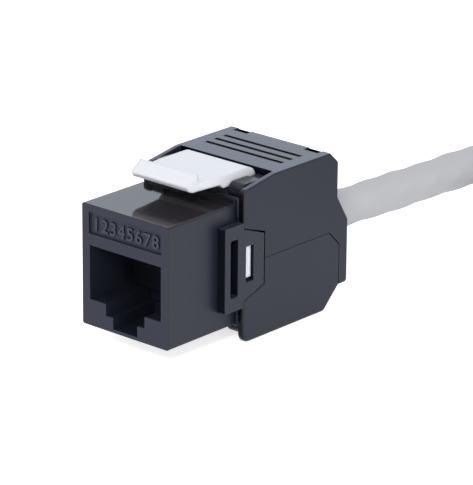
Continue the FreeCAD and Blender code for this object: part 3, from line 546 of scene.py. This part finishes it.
def cable_sheath():
    """Matte light grey jacket with faint drawn streaks along it."""
    material, tree, shader = new_material("cable_sheath")
    shader.inputs["Specular IOR Level"].default_value = 0.2
    link = tree.links.new
    along = add_node(tree, "ShaderNodeUVMap", uv_map="along")
    stretch = add_node(tree, "ShaderNodeMapping", Scale=STREAK_STRETCH)
    link(along.outputs["UV"], stretch.inputs["Vector"])
    streaks = add_node(tree, "ShaderNodeTexNoise", Scale=3.0, Detail=5.0, Roughness=0.6)
    link(stretch.outputs[0], streaks.inputs["Vector"])
    skin = place_group(
        tree,
        MOULDED_SKIN,
        {
            "Color": (*JACKET_GREY, 1),
            "Roughness": JACKET_ROUGH,
            "Grain Scale": 5000.0,
            "Tone Spread": 0.06,
        },
    )
    shade = add_node(tree, "ShaderNodeMix", data_type="RGBA", blend_type="MULTIPLY")
    shade.inputs["Factor"].default_value = STREAK_WEIGHT
    link(skin.outputs["Color"], shade.inputs["A"])
    link(streaks.outputs["Color"], shade.inputs["B"])
    link(shade.outputs["Result"], shader.inputs["Base Color"])
    link(skin.outputs["Roughness"], shader.inputs["Roughness"])
    bump = add_node(tree, "ShaderNodeBump", Strength=0.25, Distance=0.02 * MM)
    height = compute(tree, "ADD", skin.outputs["Height"], streaks.outputs["Fac"])
    link(height, bump.inputs["Height"])
    link(bump.outputs["Normal"], shader.inputs["Normal"])
    return material


WIRE_COLORS = {
    "blue": (0.02, 0.09, 0.50),
    "orange": (0.80, 0.20, 0.02),
    "green": (0.02, 0.26, 0.06),
    "brown": (0.16, 0.06, 0.025),
}


def paint(mesh, material):
    """Leaves a mesh with this material alone."""
    mesh.materials.clear()
    mesh.materials.append(material)


def dress(node, material):
    """Gives a CAD node its material."""
    paint(nodes[node].data, material)


def dress_nodes():
    """Gives every CAD node but the free cable its material, and returns the tin plating."""
    housing_black = layered_plastic(
        "housing_plastic",
        HOUSING_SIDE,
        housing_layers,
        BLACK_EDGE,
        specular=0.3,
    )
    dress("front_housing", housing_black)
    dress("rear_frame", layered_plastic("frame_plastic", FRAME_SATIN, frame_layers, BLACK_EDGE))
    door_black = layered_plastic("door_plastic", SATIN, door_layers, BLACK_EDGE, grain_scale=5000.0)
    dress("upper_door", door_black)
    dress("lower_door", door_black)
    # The carrier's black is darkened further as painted shade, deep at the back of the plug's
    # opening
    carrier_shaded_black = moulded_plastic("carrier_plastic", (0.008, 0.0085, 0.012), 0.55, 0.6, 0.1 * MM)
    carrier_shader = carrier_shaded_black.node_tree.nodes["Principled BSDF"]
    carrier_shader.inputs["Specular IOR Level"].default_value = 0.1
    dress("contact_carrier", carrier_shaded_black)
    dress("wire_core", white_plastic("core_plastic", (0.76, 0.79, 0.84), 0.34))
    dress("keystone_latch", white_plastic("latch_plastic", (0.765, 0.775, 0.80), 0.36))
    dress("circuit_board", solder_mask())
    gold = plated_metal("contact_gold", (0.90, 0.66, 0.27), 0.2, 9000.0)
    tin = plated_metal("blade_metal", (0.74, 0.73, 0.70), 0.28, 6000.0)
    wires = []
    for name, color in WIRE_COLORS.items():
        wires.append(striped_insulation(f"wire_{name}", color, False))
        wires.append(striped_insulation(f"wire_white_{name}", color, True))
    for i in range(CONTACTS):
        dress(f"contact_spring_{i + 1}", gold)
        dress(f"idc_blade_{i + 1}", tin)
        dress(f"conductor_{i + 1}", wires[i])
    jacket = moulded_plastic("jacket_plain", JACKET_GREY, JACKET_ROUGH, 0.6, 0.08 * MM)
    dress("cable_jacket_end", jacket)
    return tin


# Meshes


def plain_mesh(name, shape):
    """A mesh of a bmesh, which is freed."""
    mesh = bpy.data.meshes.new(name)
    shape.to_mesh(mesh)
    shape.free()
    return mesh


def evaluated_mesh(holder):
    """The plain mesh of what an object shows; the object is removed."""
    bpy.context.scene.collection.objects.link(holder)
    bpy.context.view_layer.update()
    graph = bpy.context.evaluated_depsgraph_get()
    mesh = bpy.data.meshes.new_from_object(holder.evaluated_get(graph))
    bpy.data.objects.remove(holder)
    return mesh


def mesh_object(name, mesh, material):
    """An object in the scene with a mesh and its material."""
    item = bpy.data.objects.new(name, mesh)
    bpy.context.scene.collection.objects.link(item)
    paint(mesh, material)
    return item


# The cable's run: places back and up, in millimetres, as in the part's source
RUN_POINTS = ((28.0, 8.6), (40.0, 8.15), (52.0, 7.85), (62.0, 7.2))
# Its coil: where round it, in radians, the upper turn sinks to the lower one, and where it ends
STEPS_PER_TURN = 16
RAMP_START = 2 * math.pi - 1.6
RAMP_END = 2 * math.pi - 0.7
COIL_END = 4 * math.pi - 1.75


def cable_points():
    """The route's points: its run, then the upper turn, which sinks to the lower one.

    The spline cuts inside its points by as much on every step, so they stand out by that.
    """
    spare = cable_d / 2 * (JACKET_SWELL + LUMP_DEPTH)
    radius = (coil_high.x - coil_low.x - cable_d) / 2 - spare
    centre = (coil_low + coil_high) / 2
    upper_z = coil_high.z - cable_d / 2
    lower_z = coil_low.z + cable_d / 2 + spare
    points = [cable_exit.copy()]
    points += [Vector((0, y * MM, z * MM)) for y, z in RUN_POINTS]
    step = 2 * math.pi / STEPS_PER_TURN
    reach = 2 * radius / (1 + math.cos(step / 2))
    for i in range(int(COIL_END / step) + 1):
        angle = i * step
        share = min(max((angle - RAMP_START) / (RAMP_END - RAMP_START), 0), 1)
        across = centre.x - reach * math.cos(angle)
        along = centre.y + reach * math.sin(angle)
        points.append(Vector((across, along, upper_z + (lower_z - upper_z) * share)))
    return points


def smooth_route(points):
    """The route's NURBS spline as a close row of points."""
    curve = bpy.data.curves.new("cable_route", "CURVE")
    curve.dimensions = "3D"
    curve.resolution_u = 16
    spline = curve.splines.new("NURBS")
    spline.points.add(len(points) - 1)
    for point, place in zip(spline.points, points):
        point.co = (*place, 1)
    spline.order_u = 3
    spline.use_endpoint_u = True
    line = evaluated_mesh(bpy.data.objects.new("cable_route", curve))
    row = [v.co.copy() for v in line.vertices]
    bpy.data.meshes.remove(line)
    return row


def evenly(row, spacing):
    """The same line with its points evenly apart, and its length."""
    lengths = [0.0]
    for a, b in zip(row, row[1:]):
        lengths.append(lengths[-1] + (b - a).length)
    count = max(2, round(lengths[-1] / spacing))
    result = []
    segment = 0
    for i in range(count + 1):
        wanted = lengths[-1] * i / count
        while segment < len(row) - 2 and lengths[segment + 1] < wanted:
            segment += 1
        span = lengths[segment + 1] - lengths[segment]
        share = (wanted - lengths[segment]) / span if span else 0
        result.append(row[segment].lerp(row[segment + 1], min(max(share, 0), 1)))
    return result, lengths[-1]


ROUTE_STEP = 0.8 * MM
JACKET_SIDES = 48
# Swelling of the free jacket over the pairs, and the depth of its lumps, as shares of the radius
JACKET_SWELL = 0.075
LUMP_DEPTH = 0.05
# The lumps are two waves wound round the jacket, each with its lay length, weight and start
PAIRS = 4
LAY_LENGTH = 24 * MM
PAIR_WEIGHT = 0.6
PAIR_START = 0.6
BEND_LAY_LENGTH = LAY_LENGTH * 0.63
BEND_WEIGHT = 0.4
BEND_START = 1.1
# Length over which the jacket swells once it is out of the doors
SWELL_LENGTH = 6 * MM
# Length of a metre of the jacket on its UV map
UV_PER_METRE = 100


def cable_mesh(row, radius):
    """A tube along the row whose skin swells a little over the twisted pairs inside."""
    shape = bmesh.new()
    uv_layer = shape.loops.layers.uv.new("along")
    rings = []
    travelled = 0.0
    side = Vector((1, 0, 0))
    for i, place in enumerate(row):
        ahead = row[min(i + 1, len(row) - 1)] - row[max(i - 1, 0)]
        ahead.normalize()
        side = (side - ahead * side.dot(ahead)).normalized()
        over = ahead.cross(side)
        if i:
            travelled += (place - row[i - 1]).length
        ease = min(travelled / SWELL_LENGTH, 1.0)
        ring = []
        for k in range(JACKET_SIDES):
            around = 2 * math.pi * k / JACKET_SIDES
            pairs = math.sin(PAIRS * (around + 2 * math.pi * travelled / LAY_LENGTH) + PAIR_START)
            bends = math.sin(2 * around - 2 * math.pi * travelled / BEND_LAY_LENGTH + BEND_START)
            wave = PAIR_WEIGHT * pairs + BEND_WEIGHT * bends
            lump = ease * (JACKET_SWELL + LUMP_DEPTH * wave)
            offset = (side * math.cos(around) + over * math.sin(around)) * radius * (1 + lump)
            ring.append(shape.verts.new(place + offset))
        rings.append((ring, travelled))
    for (low, low_at), (high, high_at) in zip(rings, rings[1:]):
        for k in range(JACKET_SIDES):
            after = (k + 1) % JACKET_SIDES
            face = shape.faces.new((low[k], low[after], high[after], high[k]))
            face.smooth = True
            shares = (k, k + 1, k + 1, k)
            for loop, share, at in zip(face.loops, shares, (low_at, low_at, high_at, high_at)):
                loop[uv_layer].uv = (at * UV_PER_METRE, share / JACKET_SIDES)
    shape.faces.new(list(reversed(rings[0][0])))
    shape.faces.new(rings[-1][0])
    return plain_mesh("cable", shape)


def make_cable(sheath):
    """The free cable in one piece, with the ends of its pairs."""
    row, length = evenly(smooth_route(cable_points()), ROUTE_STEP)
    cable = mesh_object("cable", cable_mesh(row, cable_d / 2), sheath)
    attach(cable, "jack")
    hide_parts("cable_run", "cable_coil")
    ends = make_cut_end(row, cable_d / 2)
    tuple(row[0])
    [tuple(p) for p in row]


def disc(shape, centre, normal, radius, lift, sides=20):
    """A short closed cylinder on a plane, added to a bmesh."""
    turn = normal.to_track_quat("Z", "Y").to_matrix().to_4x4()
    place = Matrix.Translation(centre + normal * lift / 2) @ turn
    bmesh.ops.create_cone(
        shape,
        cap_ends=True,
        segments=sides,
        radius1=radius,
        radius2=radius,
        depth=lift,
        matrix=place,
    )


# Wires in the cut end: reach and radius as shares of the jacket's radius, turn away from the
# middle of their pair, and how far they stand out
WIRE_REACH = 0.5
WIRE_RADIUS = 0.2
WIRE_TURN = 0.375
WIRE_LIFT = 0.5 * MM


def make_cut_end(row, radius):
    """The two wires of each pair that show in the cable's cut far end."""
    normal = (row[-1] - row[-2]).normalized()
    side = normal.cross(Vector((0, 0, 1))).normalized()
    over = side.cross(normal)
    pieces = []
    for index, name in enumerate(WIRE_COLORS):
        shape = bmesh.new()
        turn = math.pi / 4 + index * math.pi / 2
        for angle in (turn - WIRE_TURN, turn + WIRE_TURN):
            reach = radius * WIRE_REACH
            centre = row[-1] + (side * math.cos(angle) + over * math.sin(angle)) * reach
            disc(shape, centre, normal, radius * WIRE_RADIUS, WIRE_LIFT)
        mesh = plain_mesh(f"cut_wire_{name}", shape)
        piece = mesh_object(f"cut_wire_{name}", mesh, bpy.data.materials[f"wire_{name}"])
        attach(piece, "jack")
        pieces.append(piece)
    return pieces


# Plain numbers in the recess over the plug cavity; the recess's ends are heights over the
# housing's underside
NUMBER_HEIGHT = 1.75 * MM
NUMBER_RISE = 0.16 * MM
NUMBER_PITCH = 1.42 * MM
NUMBER_SPREAD = 0.015 * MM
NUMBER_BEVEL = 0.03 * MM
RECESS_LOW = 12.2 * MM
RECESS_HIGH = 15.0 * MM
RECESS_DEPTH = 0.3 * MM
HOOK_DROP = 1.2 * MM
# A number's height as a share of its font's size
NUMBER_SHARE = 0.72
MERGE_REACH = 0.0001 * MM


def make_numbers(material):
    """Raised numbers one to eight, one for each contact."""
    whole = bmesh.new()
    base_z = housing_low.z + HOOK_DROP
    middle = (RECESS_LOW + RECESS_HIGH) / 2 - NUMBER_HEIGHT / 2
    upright = Matrix.Rotation(math.pi / 2, 4, "X")
    for i in range(CONTACTS):
        text = bpy.data.curves.new("number", "FONT")
        text.body = str(i + 1)
        text.size = NUMBER_HEIGHT / NUMBER_SHARE
        text.extrude = NUMBER_RISE
        text.offset = NUMBER_SPREAD
        text.bevel_depth = NUMBER_BEVEL
        text.bevel_resolution = 2
        text.align_x = "CENTER"
        mesh = evaluated_mesh(bpy.data.objects.new("number", text))
        across = (i - (CONTACTS - 1) / 2) * NUMBER_PITCH
        spot = Vector((across, housing_low.y + RECESS_DEPTH, base_z + middle))
        mesh.transform(Matrix.Translation(spot) @ upright)
        whole.from_mesh(mesh)
        bpy.data.meshes.remove(mesh)
    bmesh.ops.remove_doubles(whole, verts=whole.verts, dist=MERGE_REACH)
    numbers = mesh_object("port_numbers", plain_mesh("port_numbers", whole), material)
    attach(numbers, "jack")


# Rear walls of the two notches in the upper door, in millimetres: their reach across, and
# their outline back and up
NOTCH_SPANS = ((-7.2, -4.75), (4.75, 7.2))
NOTCH_WALL_PROFILE = ((12.95, 19.25), (14.18, 19.25), (14.18, 19.84), (12.95, 20.98))


def make_notch_walls(material):
    """The thin wall that closes each notch towards the rear, under the sloping edge."""
    shape = bmesh.new()
    for start, end in NOTCH_SPANS:
        rows = []
        for x in (start, end):
            rows.append([shape.verts.new(Vector((x, y, z)) * MM) for y, z in NOTCH_WALL_PROFILE])
        near, far = rows
        shape.faces.new(near)
        shape.faces.new(list(reversed(far)))
        for k in range(len(near)):
            after = (k + 1) % len(near)
            shape.faces.new((near[after], near[k], far[k], far[after]))
    bmesh.ops.recalc_face_normals(shape, faces=shape.faces)
    walls = mesh_object("notch_walls", plain_mesh("notch_walls", shape), material)
    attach(walls, "upper_cover")


# Solder joints on the board, made by one Geometry Nodes tree

CONTACT_PITCH = 1.02 * MM
JOINT_ROWS = 2
JOINT_RADIUS = 0.32 * MM
JOINT_GAP = 0.02 * MM
# A joint's height as a share of its radius, and the rows' distance as a share of the board's height
JOINT_LIFT = 0.3
ROW_SHARE = 0.62


def solder_tree(material):
    """Rows of small domes over a face, each with named inputs for its sizes."""
    tree = bpy.data.node_groups.new("solder_joints", "GeometryNodeTree")
    for name, kind, value in (
        ("Columns", "NodeSocketInt", CONTACTS),
        ("Rows", "NodeSocketInt", 1),
        ("Width", "NodeSocketFloat", 0.007),
        ("Height", "NodeSocketFloat", 0.001),
        ("Joint Radius", "NodeSocketFloat", 0.0003),
        ("Joint Lift", "NodeSocketFloat", 0.4),
    ):
        item = tree.interface.new_socket(name=name, in_out="INPUT", socket_type=kind)
        item.default_value = value
    tree.interface.new_socket(name="Geometry", in_out="OUTPUT", socket_type="NodeSocketGeometry")
    given = tree.nodes.new("NodeGroupInput")
    result = tree.nodes.new("NodeGroupOutput")
    link = tree.links.new
    grid = tree.nodes.new("GeometryNodeMeshGrid")
    link(given.outputs["Width"], grid.inputs["Size X"])
    link(given.outputs["Height"], grid.inputs["Size Y"])
    link(given.outputs["Columns"], grid.inputs["Vertices X"])
    link(given.outputs["Rows"], grid.inputs["Vertices Y"])
    dome = tree.nodes.new("GeometryNodeMeshUVSphere")
    dome.inputs["Segments"].default_value = 14
    dome.inputs["Rings"].default_value = 8
    link(given.outputs["Joint Radius"], dome.inputs["Radius"])
    flat = tree.nodes.new("ShaderNodeCombineXYZ")
    flat.inputs["X"].default_value = 1.0
    flat.inputs["Y"].default_value = 1.0
    link(given.outputs["Joint Lift"], flat.inputs["Z"])
    scatter = tree.nodes.new("GeometryNodeInstanceOnPoints")
    link(grid.outputs["Mesh"], scatter.inputs["Points"])
    link(dome.outputs["Mesh"], scatter.inputs["Instance"])
    link(flat.outputs[0], scatter.inputs["Scale"])
    real = tree.nodes.new("GeometryNodeRealizeInstances")
    link(scatter.outputs["Instances"], real.inputs["Geometry"])
    dressed = tree.nodes.new("GeometryNodeSetMaterial")
    dressed.inputs["Material"].default_value = material
    link(real.outputs["Geometry"], dressed.inputs["Geometry"])
    link(dressed.outputs["Geometry"], result.inputs["Geometry"])
    return tree


def make_from_tree(name, tree, values, turn):
    """Runs a Geometry Nodes tree once and keeps the result as a plain mesh."""
    holder = bpy.data.objects.new(name, bpy.data.meshes.new(name))
    modifier = holder.modifiers.new("tree", "NODES")
    modifier.node_group = tree
    for item in tree.interface.items_tree:
        if item.item_type == "SOCKET" and item.in_out == "INPUT" and item.name in values:
            modifier[item.identifier] = values[item.name]
    mesh = evaluated_mesh(holder)
    mesh.transform(turn)
    for face in mesh.polygons:
        face.use_smooth = True
    return mesh


def make_solder(tin):
    """Two rows of solder joints on each side of the board."""
    tree = solder_tree(tin)
    values = {
        "Columns": CONTACTS,
        "Rows": JOINT_ROWS,
        "Width": (CONTACTS - 1) * CONTACT_PITCH,
        "Height": (board_high.z - board_low.z) * ROW_SHARE,
        "Joint Radius": JOINT_RADIUS,
        "Joint Lift": JOINT_LIFT,
    }
    middle_z = (board_low.z + board_high.z) / 2
    upright = Matrix.Rotation(math.pi / 2, 4, "X")
    places = {"solder_front": board_low.y - JOINT_GAP, "solder_rear": board_high.y + JOINT_GAP}
    for name, y in places.items():
        turn = Matrix.Translation(Vector((0, y, middle_z))) @ upright
        joints = mesh_object(name, make_from_tree(name, tree, values, turn), tin)
        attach(joints, "jack")


# Room and light

FLOOR_SIZE = 3.0
FLOOR_GLOW = 0.72
FLOOR_DROP = 0.02 * MM


def seen_directly(tree):
    """One for camera, glossy and transmission rays, and zero for the rays that light the part."""
    path = tree.nodes.new("ShaderNodeLightPath")
    total = path.outputs["Is Camera Ray"]
    for name in ("Is Glossy Ray", "Is Transmission Ray"):
        total = compute(tree, "MAXIMUM", total, path.outputs[name])
    return total


def make_room():
    """A pale floor that shows as white, with the object's soft shadow on it."""
    shape = bmesh.new()
    bmesh.ops.create_grid(shape, x_segments=1, y_segments=1, size=FLOOR_SIZE)
    material, tree, shader = new_material("floor")
    shader.inputs["Base Color"].default_value = (0.9, 0.9, 0.9, 1)
    shader.inputs["Roughness"].default_value = 0.75
    shader.inputs["Specular IOR Level"].default_value = 0.2
    shader.inputs["Emission Color"].default_value = (1, 1, 1, 1)
    glow = compute(tree, "MULTIPLY", seen_directly(tree), FLOOR_GLOW)
    tree.links.new(glow, shader.inputs["Emission Strength"])
    floor = mesh_object("floor", plain_mesh("floor", shape), material)
    floor.location.z = -FLOOR_DROP
    floor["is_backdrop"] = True


def make_light(name, place, size, power, target, color=(1, 1, 1)):
    """A flat lamp of a width and height in metres, turned to a point of the jack."""
    data = bpy.data.lights.new(name, "AREA")
    data.shape = "RECTANGLE"
    data.size = size[0]
    data.size_y = size[1]
    data.energy = power
    data.color = color
    lamp = bpy.data.objects.new(name, data)
    place = Vector(place)
    lamp.location = place
    lamp.rotation_euler = (Vector(target) - place).to_track_quat("-Z", "Y").to_euler()
    bpy.context.scene.collection.objects.link(lamp)


def make_world():
    """A soft, slightly cool surround that shows as plain white."""
    world = bpy.data.worlds.new("studio")
    bpy.context.scene.world = world
    world.use_nodes = True
    tree = world.node_tree
    link = tree.links.new
    soft = tree.nodes["Background"]
    soft.inputs["Color"].default_value = (0.93, 0.95, 1.0, 1)
    soft.inputs["Strength"].default_value = 0.6
    plain = tree.nodes.new("ShaderNodeBackground")
    plain.inputs["Color"].default_value = (1, 1, 1, 1)
    plain.inputs["Strength"].default_value = 1.0
    mix = tree.nodes.new("ShaderNodeMixShader")
    link(seen_directly(tree), mix.inputs["Fac"])
    link(soft.outputs[0], mix.inputs[1])
    link(plain.outputs[0], mix.inputs[2])
    link(mix.outputs[0], tree.nodes["World Output"].inputs["Surface"])


def make_lights():
    """A key from the front right and soft lamps round it."""
    target = (0, 0, 10 * MM)
    make_light("key", (0.34, -0.50, 0.45), (0.13, 0.13), 1.75, target)
    make_light("side", (0.85, -0.30, 0.12), (0.5, 0.35), 2.8, target)
    make_light("fill", (-0.6, -0.5, 0.4), (0.6, 0.4), 0.7, target)
    make_light("back", (-0.6, 0.7, 0.35), (0.7, 0.35), 0.52, target, (0.6, 0.8, 1))
    make_light("top", (0.0, -0.1, 0.7), (0.25, 0.25), 0.45, target)


# Put together

bpy.context.scene.view_settings.view_transform = "Standard"
make_camera()
tin = dress_nodes()
make_cable(cable_sheath())
make_numbers(layered_plastic("number_plastic", SHADED_NUMBER_FLANK, number_layers, 0.05 * MM, specular=0.5))
make_notch_walls(nodes["upper_door"].data.materials[0])
make_solder(tin)
make_room()
make_world()
make_lights()

sizes = {"cad": cad_box, "visual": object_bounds()}
{name: [list(corner) for corner in box] for name, box in sizes.items()}
